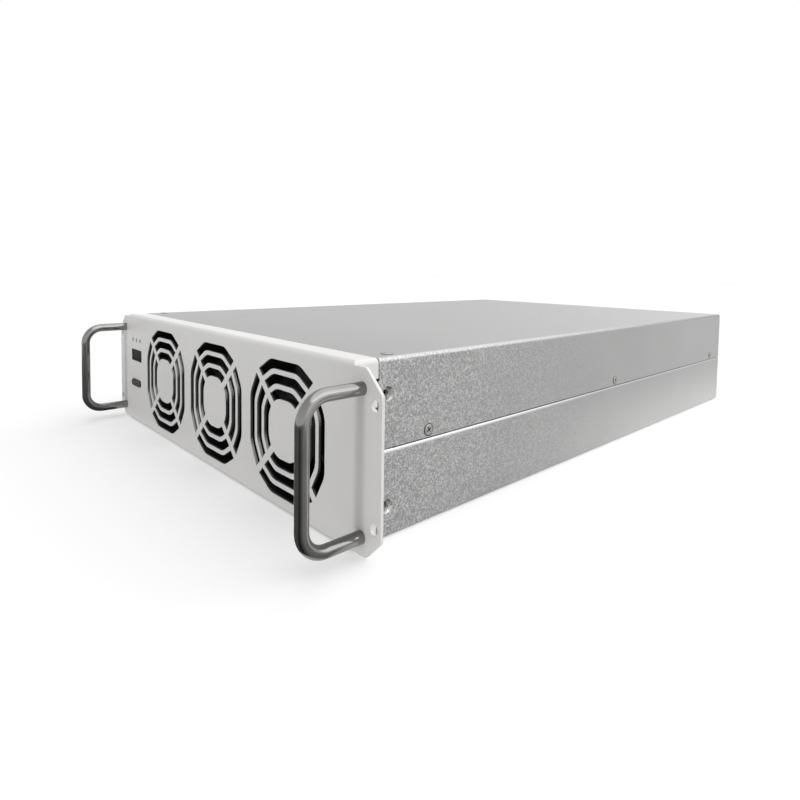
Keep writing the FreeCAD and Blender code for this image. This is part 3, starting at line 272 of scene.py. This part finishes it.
def galvanised_sheet():
    """Zinc with a leafy spangle, clearest at the front of the sides, with painted highlights under the seam
    and on the rail-hole lips, and painted light and shade on the top folds, by facing, along the part and
    low on the sides.
    """
    f = Finish("galvanised_sheet", {"Metallic": 1.0})
    leaf = f.cells(0.75 * MM, f.warped(1.2 * MM, 1.3 * MM)).outputs["Color"]
    leaf = f.add("SeparateColor", {0: leaf}).outputs[0]
    grain = f.noise(0.5 * MM, detail=2, rough=0.6).outputs[0]
    cloud = f.noise(46 * MM, detail=3).outputs[0]
    across, along, high = f.parts(f.place)
    sideways, _, upward = f.parts(f.normal())
    crisp = f.times(f.span(along, 1.0, 0.12, *SPANGLE_FADE), f.span(upward, 1.0, 0.25, *SIDE_TO_LID))
    fleck = f.plus(f.span(f.math("POWER", leaf, 1.4), -0.14, 0.2), f.spread(grain, -0.13, 0.13))
    tone = f.plus(f.times(fleck, crisp), f.spread(cloud, 0.488, 0.512))
    # Painted light along the part: the sides lighter towards the rear, the lid lighter towards the front
    painted_drift = f.times(f.span(along, -0.02, 0.02, *PAINTED_DRIFT_RUN), f.span(upward, 1.0, -1.5, *SIDE_TO_LID))
    # Painted light and shade by facing: the sides lighter, the lid darker
    facing = f.span(upward, 0.02, -0.035, *SIDE_TO_LID)
    # Painted reflection of the bright floor: the sides lighter low down, towards the rear
    floor_sheen = f.times(f.span(high, 0.17, 0.0, *FLOOR_SHEEN_HEIGHTS), f.span(along, 0.0, 1.0, *FLOOR_SHEEN_FADE))
    for shift in (painted_drift, facing, floor_sheen):
        tone = f.plus(tone, shift)
    zinc = f.ramp(tone, [(0.2, (0.17, 0.17, 0.17)), (0.5, (0.32, 0.32, 0.318)), (0.8, (0.6, 0.6, 0.595))])
    # Top folds: painted highlight at the front, painted shade towards the rear
    fold = f.span(f.times(f.magnitude(sideways), upward), 0.0, 1.0, *FOLD_FACING)
    fold = f.times(fold, f.over(high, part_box("top_cover")[1].z - FOLD_HEIGHT))
    zinc = f.blend(fold, zinc, f.span(along, 1.08, 0.42, *FOLD_SHADE_RUN), "MULTIPLY")
    outer = f.over(f.magnitude(across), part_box("top_cover")[1].x - SIDE_SKIN)
    # Painted highlights on the outer skin: the line under the seam and the lower lips of the rail holes
    bright = f.math("MAXIMUM", seam_highlight(f, along, high), lip_highlight(f, along, high, upward))
    f.feed("Base Color", f.blend(f.times(bright, outer), zinc, (0.72, 0.72, 0.715, 1)))
    f.feed("Roughness", f.plus(f.span(leaf, 0.33, 0.45), f.spread(cloud, -0.006, 0.006)))
    bumps = f.bump(f.plus(leaf, grain), 0.02 * MM, f.times(crisp, 0.5), f.eased_edges(0.35 * MM))
    f.feed("Normal", bumps)
    return f.material


def slot_shade(f):
    """1 on the fan-slot walls that take painted shade. Those that slope up to the right are left without
    it, as painted light.
    """
    across, _, high = f.parts(f.place)
    rightward, backward, upward = f.parts(f.normal())
    wall = f.under(f.magnitude(backward), WALL_FACING)
    beside = f.under(f.magnitude(across), SLOT_REACH)
    below = f.under(high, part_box("front_panel")[1].z - SLOT_DROP)
    slope = f.times(f.span(upward, 0.0, 1.0, *LIT_RISE), f.span(upward, 1.0, 0.0, *LIT_FALL))
    lit_slope = f.times(slope, f.over(rightward, LIT_RIGHT))
    return f.math("SUBTRACT", f.times(wall, beside, below), lit_slope)


def panel_coat():
    """Satin powder coat with a slight orange peel, with painted shade on the fan-slot walls and painted
    shadow in gaps.
    """
    f = Finish("panel_coat", {"Specular IOR Level": 0.45})
    peel = f.noise(0.9 * MM, detail=3).outputs[0]
    cloud = f.noise(60 * MM, detail=2).outputs[0]
    coat = f.mottle(cloud, (0.775, 0.768, 0.75), (0.81, 0.803, 0.787))
    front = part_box("front_panel")[0].y
    # Painted shade on the slot walls: lighter at their front edge, near black deeper in
    depth = f.span(f.parts(f.place)[1], 0.0, 1.0, front, front + SLOT_SHADE_DEPTH)
    dust_and_shade = f.ramp(depth, [(0.0, (0.2, 0.2, 0.195)), (1.0, (0.03, 0.03, 0.03))])
    coat = f.blend(slot_shade(f), coat, dust_and_shade)
    # Painted shadow in gaps, from the share that the mesh carries
    f.feed("Base Color", f.blend(f.gap_shadow(), coat, (0.02, 0.02, 0.02, 1)))
    f.feed("Roughness", f.spread(peel, 0.38, 0.5))
    f.feed("Normal", f.bump(peel, 0.03 * MM, 0.35, f.eased_edges(0.4 * MM)))
    return f.material


def polished_rod():
    """Stainless bar, polished round its girth, with faint rub marks and painted shade on its upper side."""
    f = Finish("handle_steel", {"Metallic": 1.0})
    rub = f.noise(0.35 * MM, detail=4, rough=0.7, place=f.stretched((1.0, 0.12, 0.12))).outputs[0]
    cloud = f.noise(14 * MM).outputs[0]
    steel = f.mottle(cloud, (0.24, 0.238, 0.232), (0.29, 0.288, 0.281))
    # Painted shade: the upper side darker
    upper = f.span(f.parts(f.normal("Normal"))[2], 0.0, 1.0, *ROD_TOP_SHADE)
    f.feed("Base Color", f.blend(upper, steel, (0.72, 0.72, 0.72, 1), "MULTIPLY"))
    f.feed("Roughness", f.spread(rub, 0.10, 0.22))
    f.feed("Normal", f.bump(rub, 0.004 * MM, 0.3))
    return f.material


def plated_screw():
    """Zinc plating, with painted shadow where a screw meets its hole."""
    f = Finish("screw_steel", {"Metallic": 1.0})
    grain = f.noise(0.3 * MM, detail=3).outputs[0]
    plate = f.mottle(grain, (0.25, 0.25, 0.245), (0.36, 0.36, 0.35))
    f.feed("Base Color", f.blend(f.gap_shadow(), plate, (0.03, 0.03, 0.03, 1)))
    f.feed("Roughness", f.spread(grain, 0.3, 0.45))
    f.feed("Normal", f.bump(grain, 0.01 * MM, 0.3, f.eased_edges(0.12 * MM)))
    return f.material


def moulded(name, dark, light, roughness, grain_size=0.25 * MM, gloss=0.4):
    """Plastic with a fine spark-eroded grain."""
    f = Finish(name, {"Specular IOR Level": gloss})
    grain = f.noise(grain_size, detail=3, rough=0.6).outputs[0]
    cloud = f.noise(22 * MM).outputs[0]
    f.feed("Base Color", f.mottle(cloud, dark, light))
    f.feed("Roughness", f.spread(grain, roughness - 0.06, roughness + 0.08))
    f.feed("Normal", f.bump(grain, 0.015 * MM, 0.4, f.eased_edges(0.2 * MM)))
    return f.material


def fan_plastic():
    return moulded("fan_plastic", (0.012, 0.012, 0.013), (0.02, 0.02, 0.021), 0.5)


def black_plastic():
    return moulded("black_plastic", (0.014, 0.014, 0.015), (0.026, 0.026, 0.027), 0.42)


def key_plastic():
    return moulded("key_plastic", (0.06, 0.06, 0.06), (0.08, 0.08, 0.08), 0.5, gloss=0.1)


def light_pipe():
    f = Finish("light_pipe", {"Specular IOR Level": 0.1})
    haze = f.noise(1.2 * MM, detail=3).outputs[0]
    f.feed("Base Color", f.mottle(haze, (0.2, 0.2, 0.2), (0.27, 0.27, 0.265)))
    f.feed("Roughness", f.spread(haze, 0.2, 0.32))
    return f.material


def display_lens():
    """Smoked lens: near black, with a faint haze of dust."""
    f = Finish("display_lens", {"Specular IOR Level": 0.02})
    dust_and_shade = f.noise(2.5 * MM, detail=4, rough=0.7).outputs[0]
    f.feed("Base Color", f.ramp(dust_and_shade, [(0.35, (0.004, 0.004, 0.005)), (0.75, (0.01, 0.01, 0.011))]))
    f.feed("Roughness", f.spread(dust_and_shade, 0.2, 0.3))
    return f.material


def circuit_board():
    """Solder resist over a maze of tracks."""
    f = Finish("circuit_board", {"Specular IOR Level": 0.5})
    layout = {"Vector": f.place, "Scale": 1 / (9 * MM), "Mortar Size": 0.06}
    tracks = f.add("TexBrick", layout).outputs["Fac"]
    weave = f.noise(0.7 * MM).outputs[0]
    f.feed("Base Color", f.blend(tracks, (0.012, 0.085, 0.035, 1), (0.03, 0.15, 0.06, 1)))
    f.feed("Roughness", f.spread(weave, 0.28, 0.42))
    f.feed("Normal", f.bump(tracks, 0.03 * MM, 0.5))
    return f.material


def sink_aluminium():
    """Extruded aluminium with die lines along its length."""
    f = Finish("sink_aluminium", {"Metallic": 1.0})
    lines = f.noise(0.4 * MM, detail=3, place=f.stretched((1.0, 0.01, 1.0))).outputs[0]
    f.feed("Base Color", f.mottle(lines, (0.6, 0.61, 0.62), (0.72, 0.725, 0.73)))
    f.feed("Roughness", f.spread(lines, 0.28, 0.42))
    f.feed("Normal", f.bump(lines, 0.02 * MM, 0.4))
    return f.material


def can_sleeve():
    return moulded("can_sleeve", (0.012, 0.016, 0.035), (0.02, 0.025, 0.05), 0.3, 1.5 * MM)


def film_case():
    return moulded("film_case", (0.5, 0.38, 0.08), (0.58, 0.45, 0.1), 0.36, 0.8 * MM)


def ferrite():
    f = Finish("ferrite", {"Metallic": 0.2})
    grain = f.noise(0.5 * MM, detail=4, rough=0.7).outputs[0]
    f.feed("Base Color", f.mottle(grain, (0.03, 0.03, 0.032), (0.06, 0.06, 0.063)))
    f.feed("Roughness", f.spread(grain, 0.5, 0.7))
    f.feed("Normal", f.bump(grain, 0.03 * MM, 0.5))
    return f.material


def copper_wire():
    """Close turns of enamelled wire."""
    f = Finish("copper_wire", {"Metallic": 1.0})
    turns = f.add("TexWave", {"Vector": f.place, "Scale": 1 / (7 * MM), "Distortion": 0.6}).outputs["Fac"]
    f.feed("Base Color", f.ramp(turns, [(0.0, (0.2, 0.07, 0.025)), (0.7, (0.62, 0.28, 0.12))]))
    f.feed("Roughness", f.span(turns, 0.4, 0.26))
    f.feed("Normal", f.bump(turns, 0.3 * MM, 0.6))
    return f.material


def contact_metal():
    f = Finish("contact_metal", {"Metallic": 1.0})
    grain = f.noise(0.6 * MM, detail=3).outputs[0]
    f.feed("Base Color", f.mottle(grain, (0.6, 0.47, 0.26), (0.7, 0.57, 0.34)))
    f.feed("Roughness", f.spread(grain, 0.2, 0.32))
    return f.material


FINISHES = {
    "galvanised_sheet": galvanised_sheet,
    "panel_coat": panel_coat,
    "handle_steel": polished_rod,
    "screw_steel": plated_screw,
    "fan_plastic": fan_plastic,
    "copper_wire": copper_wire,
    "display_lens": display_lens,
    "black_plastic": black_plastic,
    "light_pipe": light_pipe,
    "key_plastic": key_plastic,
    "circuit_board": circuit_board,
    "sink_aluminium": sink_aluminium,
    "can_sleeve": can_sleeve,
    "ferrite": ferrite,
    "film_case": film_case,
    "contact_metal": contact_metal,
}
finishes = {slot: make() for slot, make in FINISHES.items()}


def dress_nodes():
    """Gives every CAD node the finish of its slot."""
    for row in record["subparts"]:
        mesh = nodes[row["node"]].data
        mesh.materials.clear()
        mesh.materials.append(finishes[row["material_slot"]])


dress_nodes()


# Screws with a cross recess, in place of the plain ones on the outside

SCREW_HEAD = 2.75 * MM
SCREW_HEAD_DEPTH = 1.2 * MM
SCREW_SHANK = 1.5 * MM
SCREW_LENGTH = 5.0 * MM
SCREW_CROWN = 2.7 * MM
SCREW_RISE = 0.4 * MM
SCREW_RIM = 3.15 * MM
SCREW_RIM_RISE = 0.04 * MM
CROSS_REACH = 1.55 * MM
CROSS_ARM = 0.36 * MM
CROSS_DEPTH = 1.0 * MM
CROSS_TAPER = 0.55
SCREW_SIDES = 40

# How far each cross is turned, in radians, so that neighbours differ
RIGHT_SIDE_TURNS = (0.5, 1.4, 2.3)
LEFT_SIDE_TURNS = (0.2, 0.9, 1.6)
LID_TURNS = (0.3, 0.8)
SOCKET_TURNS = {"inlet_socket": 0.4, "outlet_socket": 1.4}


def add_piece(name, mesh, slot):
    """Puts a finished mesh into the scene, with the finish of a slot."""
    data = bpy.data.meshes.new(name)
    mesh.to_mesh(data)
    mesh.free()
    data.materials.append(finishes[slot])
    piece = bpy.data.objects.new(name, data)
    bpy.context.scene.collection.objects.link(piece)
    return piece


def ring(mesh, radius, z):
    angles = [2 * math.pi * index / SCREW_SIDES for index in range(SCREW_SIDES)]
    return [mesh.verts.new((radius * math.cos(a), radius * math.sin(a), z)) for a in angles]


def cross(mesh, scale, z):
    """Outline of a cross, twelve points."""
    arm = CROSS_ARM * scale
    reach = CROSS_REACH * scale
    points = []
    for turn in range(4):
        spin = Matrix.Rotation(turn * math.pi / 2, 2)
        for corner in ((reach, -arm), (reach, arm), (arm, arm)):
            points.append(spin @ Vector(corner))
    return [mesh.verts.new((p.x, p.y, z)) for p in points]


def bridge(mesh, lower, upper):
    count = len(lower)
    for index in range(count):
        after = (index + 1) % count
        mesh.faces.new((lower[index], lower[after], upper[after], upper[index]))


def loop_edges(mesh, loop):
    pairs = zip(loop, loop[1:] + loop[:1])
    return [mesh.edges.get(pair) or mesh.edges.new(pair) for pair in pairs]


def screw_mesh():
    """Raised countersunk screw along -Z, with the surface that it holds at z = 0.

    Each step of its profile is a radius, a height and a share of painted shadow.
    """
    mesh = bmesh.new()
    gap_shadow = mesh.verts.layers.float.new("gap_shadow")
    profile = [
        (SCREW_SHANK, -SCREW_LENGTH, 0.0),
        (SCREW_SHANK, -SCREW_HEAD_DEPTH, 0.0),
        (SCREW_HEAD, 0.0, 0.0),
        (SCREW_RIM, 0.0, 0.0),
        # The flat ring between rim and crown carries painted shadow
        (SCREW_RIM, SCREW_RIM_RISE, 1.0),
        (SCREW_CROWN, SCREW_RIM_RISE, 1.0),
        (SCREW_CROWN, SCREW_RISE / 2, 0.0),
        (SCREW_CROWN - SCREW_RISE, SCREW_RISE, 0.0),
    ]
    rings = []
    for radius, z, dark in profile:
        rings.append(ring(mesh, radius, z))
        for vert in rings[-1]:
            vert[gap_shadow] = dark
    for lower, upper in zip(rings, rings[1:]):
        bridge(mesh, lower, upper)
    mesh.faces.new(list(reversed(rings[0])))
    mouth = cross(mesh, 1.0, SCREW_RISE)
    floor = cross(mesh, CROSS_TAPER, SCREW_RISE - CROSS_DEPTH)
    bridge(mesh, mouth, floor)
    mesh.faces.new(floor)
    edges = loop_edges(mesh, rings[-1]) + loop_edges(mesh, mouth)
    bmesh.ops.triangle_fill(mesh, edges=edges, use_beauty=True)
    bmesh.ops.recalc_face_normals(mesh, faces=mesh.faces)
    return mesh


def screw_set(name, node, seats):
    """One piece with a screw at each (place, direction, turn), in place of a CAD node."""
    whole = bmesh.new()
    for place, direction, turn in seats:
        screw = screw_mesh()
        facing = Vector(direction).to_track_quat("Z", "Y").to_matrix().to_4x4()
        screw.transform(Matrix.Translation(place) @ facing @ Matrix.Rotation(turn, 4, "Z"))
        part = bpy.data.meshes.new(name + "_part")
        screw.to_mesh(part)
        screw.free()
        whole.from_mesh(part)
        bpy.data.meshes.remove(part)
    piece = add_piece(name, whole, "screw_steel")
    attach(piece, "case")
    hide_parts(node)


def side_screws():
    low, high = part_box("cover_side_screws")
    z = (low.z + high.z) / 2
    rows = (low.y + SCREW_HEAD, (low.y + high.y) / 2, high.y - SCREW_HEAD)
    seats = []
    for y, right_turn, left_turn in zip(rows, RIGHT_SIDE_TURNS, LEFT_SIDE_TURNS):
        seats.append(((high.x, y, z), (1, 0, 0), right_turn))
        seats.append(((low.x, y, z), (-1, 0, 0), left_turn))
    screw_set("side_screws", "cover_side_screws", seats)


def lid_screws():
    low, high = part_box("cover_top_screws")
    y = (low.y + high.y) / 2
    columns = (low.x + SCREW_HEAD, high.x - SCREW_HEAD)
    seats = [((x, y, high.z), (0, 0, 1), turn) for x, turn in zip(columns, LID_TURNS)]
    screw_set("lid_screws", "cover_top_screws", seats)


def rear_screws():
    low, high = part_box("socket_screws")
    inset = low.x + SCREW_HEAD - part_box("inlet_socket")[0].x
    seats = []
    for socket, turn in SOCKET_TURNS.items():
        start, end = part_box(socket)
        z = (start.z + end.z) / 2
        for x in (start.x + inset, end.x - inset):
            seats.append(((x, high.y, z), (0, 1, 0), turn))
    screw_set("rear_screws", "socket_screws", seats)


side_screws()
lid_screws()
rear_screws()


# Side flanges of the front panel, which lap the case behind the ears

FLANGE_PROUD = 0.35 * MM
FLANGE_START = 2.0 * MM
FLANGE_SHORT = 0.65 * MM
FLANGE_LOW = 3.0 * MM
FLANGE_TOP_DROP = 10.5 * MM
FLANGE_NOTCH_HEIGHT = 61.5 * MM
FLANGE_NOTCH = 1.0 * MM
FLANGE_NOTCH_REACH = 0.6 * MM
FLANGE_GAP = 0.5 * MM
FLANGE_GAP_PROUD = 0.05 * MM
FLANGE_EDGE = 0.12 * MM


def plate(mesh, low, high, dark=0.0):
    """Plate with eased edges between two corners; dark is its share of painted shadow."""
    size = Vector(high) - Vector(low)
    middle = (Vector(low) + Vector(high)) / 2
    verts = bmesh.ops.create_cube(mesh, size=1.0, matrix=Matrix.LocRotScale(middle, None, size))["verts"]
    edges = {edge for vert in verts for edge in vert.link_edges}
    eased = min(FLANGE_EDGE, min(size) / 3)
    made = bmesh.ops.bevel(mesh, geom=list(edges), offset=eased, segments=2, affect="EDGES")["verts"]
    gap_shadow = mesh.verts.layers.float["gap_shadow"]
    for vert in made:
        vert[gap_shadow] = dark


def side_flanges():
    """Two flanges on each side, parted by a notch behind the upper ear hole, with thin plates of painted
    shadow in the gap behind them and in the notch.
    """
    mesh = bmesh.new()
    mesh.verts.layers.float.new("gap_shadow")
    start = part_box("front_panel")[0].y + FLANGE_START
    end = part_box("front_panel")[1].y - FLANGE_SHORT
    cover_low, cover_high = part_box("top_cover")
    notch_low = FLANGE_NOTCH_HEIGHT - FLANGE_NOTCH / 2
    notch_high = FLANGE_NOTCH_HEIGHT + FLANGE_NOTCH / 2
    top = cover_high.z - FLANGE_TOP_DROP
    for side in (cover_low.x - FLANGE_PROUD, cover_high.x):
        for low, high in ((FLANGE_LOW, notch_low), (notch_high, top)):
            plate(mesh, (side, start, low), (side + FLANGE_PROUD, end, high))
    # Thin plates of painted shadow: in the gap behind each flange and in the notch
    for side in (cover_low.x - FLANGE_GAP_PROUD, cover_high.x):
        outer = side + FLANGE_GAP_PROUD
        plate(mesh, (side, end, FLANGE_LOW), (outer, end + FLANGE_GAP, top), dark=1.0)
        plate(mesh, (side, end - FLANGE_NOTCH_REACH, notch_low), (outer, end, notch_high), dark=1.0)
    piece = add_piece("side_flanges", mesh, "panel_coat")
    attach(piece, "case")


side_flanges()


# Stage: floor, world, lamps and camera

def background_rays(tree):
    """1 for rays that see the background: from the camera, from metal and through glass."""
    path = tree.nodes.new("ShaderNodeLightPath")
    total = path.outputs["Is Camera Ray"]
    for ray in ("Is Glossy Ray", "Is Transmission Ray"):
        either = tree.nodes.new("ShaderNodeMath")
        either.operation = "MAXIMUM"
        tree.links.new(total, either.inputs[0])
        tree.links.new(path.outputs[ray], either.inputs[1])
        total = either.outputs[0]
    return total


def make_world():
    world = bpy.data.worlds.new("studio")
    bpy.context.scene.world = world
    world.use_nodes = True
    tree = world.node_tree
    background = tree.nodes["Background"]
    background.inputs["Color"].default_value = (1, 1, 1, 1)
    level = tree.nodes.new("ShaderNodeMapRange")
    level.inputs["To Min"].default_value = SKY_LEVEL
    level.inputs["To Max"].default_value = 1.0
    tree.links.new(background_rays(tree), level.inputs["Value"])
    tree.links.new(level.outputs[0], background.inputs["Strength"])


def make_floor():
    """White paper, which keeps a soft shadow."""
    bpy.ops.mesh.primitive_plane_add(size=FLOOR_SIZE, location=(0, 0, -FLOOR_DROP))
    floor = bpy.context.object
    floor.name = "floor"
    material = bpy.data.materials.new("floor")
    material.use_nodes = True
    tree = material.node_tree
    tree.nodes.remove(tree.nodes["Principled BSDF"])
    diffuse = tree.nodes.new("ShaderNodeBsdfDiffuse")
    diffuse.inputs["Color"].default_value = FLOOR_COLOUR
    glow = tree.nodes.new("ShaderNodeEmission")
    level = tree.nodes.new("ShaderNodeMath")
    level.operation = "MULTIPLY"
    level.inputs[1].default_value = FLOOR_GLOW
    tree.links.new(background_rays(tree), level.inputs[0])
    tree.links.new(level.outputs[0], glow.inputs["Strength"])
    both = tree.nodes.new("ShaderNodeAddShader")
    tree.links.new(diffuse.outputs[0], both.inputs[0])
    tree.links.new(glow.outputs[0], both.inputs[1])
    tree.links.new(both.outputs[0], tree.nodes["Material Output"].inputs["Surface"])
    floor.data.materials.append(material)


def make_card(name, first, last, shade, reach):
    """Card on the floor that shows only in reflections."""
    steps = round((last - first) / CARD_STEP_DEGREES)
    points = []
    for index in range(steps + 1):
        angle = math.radians(first + (last - first) * index / steps)
        ray = Vector((math.sin(angle), -math.cos(angle)))
        points.extend((*(CARD_CENTRE + radius * ray), CARD_LIFT) for radius in (CARD_INNER, reach))
    faces = [(index, index + 2, index + 3, index + 1) for index in range(0, 2 * steps, 2)]
    mesh = bpy.data.meshes.new(name)
    mesh.from_pydata(points, [], faces)
    card = bpy.data.objects.new(name, mesh)
    bpy.context.scene.collection.objects.link(card)
    material = bpy.data.materials.new(name)
    material.use_nodes = True
    shader = material.node_tree.nodes["Principled BSDF"]
    shader.inputs["Base Color"].default_value = (shade, shade, shade, 1)
    shader.inputs["Roughness"].default_value = 1.0
    mesh.materials.append(material)
    card.visible_camera = False
    card.visible_diffuse = False
    card.visible_shadow = False


def make_cards():
    for index, card in enumerate(CARDS):
        make_card("card_%d" % index, *card)


def add_light(name, data, place, target):
    light = bpy.data.objects.new(name, data)
    light.location = place
    light.rotation_euler = (Vector(target) - Vector(place)).to_track_quat("-Z", "Y").to_euler()
    light.visible_camera = False
    bpy.context.scene.collection.objects.link(light)
    return light


def add_sun(name, strength, spread, place):
    data = bpy.data.lights.new(name, "SUN")
    data.energy = strength
    data.angle = spread
    return add_light(name, data, place, (0, 0, 0))


def add_lamp(name, width, height, power, place, target=(0, 0, 0)):
    data = bpy.data.lights.new(name, "AREA")
    data.shape = "RECTANGLE"
    data.size = width
    data.size_y = height
    data.energy = power
    return add_light(name, data, place, target)


def make_lights():
    """Soft light from above, lamps behind and to the right, light from the front and off the floor."""
    add_sun("top_light", TOP_LIGHT, TOP_LIGHT_SPREAD, TOP_LIGHT_FROM)
    add_lamp("back_lamp", BACK_LAMP_WIDTH, BACK_LAMP_HEIGHT, BACK_LAMP_POWER, BACK_LAMP_PLACE)
    add_lamp("side_lamp", SIDE_LAMP_WIDTH, SIDE_LAMP_WIDTH, SIDE_LAMP_POWER, SIDE_LAMP_PLACE)
    front = add_sun("front_light", FRONT_LIGHT, FRONT_LIGHT_SPREAD, FRONT_LIGHT_FROM)
    front.visible_glossy = False
    place = Vector((0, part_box("front_panel")[0].y - BOUNCE_DEPTH / 2, 0))
    above = place + Vector((0, 0, 1))
    bounce = add_lamp("floor_bounce", BOUNCE_WIDTH, BOUNCE_DEPTH, BOUNCE_POWER, place, above)
    bounce.visible_glossy = False


def camera_axes():
    """Right, up and forward of the camera."""
    yaw, pitch, roll = CAMERA_YAW, CAMERA_PITCH, CAMERA_ROLL
    forward = Vector((math.sin(yaw) * math.cos(pitch), math.cos(yaw) * math.cos(pitch), math.sin(pitch)))
    right = Vector((math.cos(yaw), -math.sin(yaw), 0))
    up = right.cross(forward)
    tilted_right = math.cos(roll) * right + math.sin(roll) * up
    tilted_up = math.cos(roll) * up - math.sin(roll) * right
    return tilted_right, tilted_up, forward


def make_camera():
    right, up, forward = camera_axes()
    data = bpy.data.cameras.new("camera")
    data.sensor_width = SENSOR
    data.lens = SENSOR * FOCAL_PIXELS / FRAME_PIXELS
    data.shift_x = 0.5 - CENTRE_PIXEL[0] / FRAME_PIXELS
    data.shift_y = CENTRE_PIXEL[1] / FRAME_PIXELS - 0.5
    data.clip_start = CLIP_START
    camera = bpy.data.objects.new("camera", data)
    camera.matrix_world = Matrix((right, up, -forward)).transposed().to_4x4()
    camera.location = CAMERA_PLACE
    bpy.context.scene.collection.objects.link(camera)
    bpy.context.scene.camera = camera


make_world()
make_floor()
make_cards()
make_lights()
make_camera()
bpy.context.scene.view_settings.view_transform = "Standard"
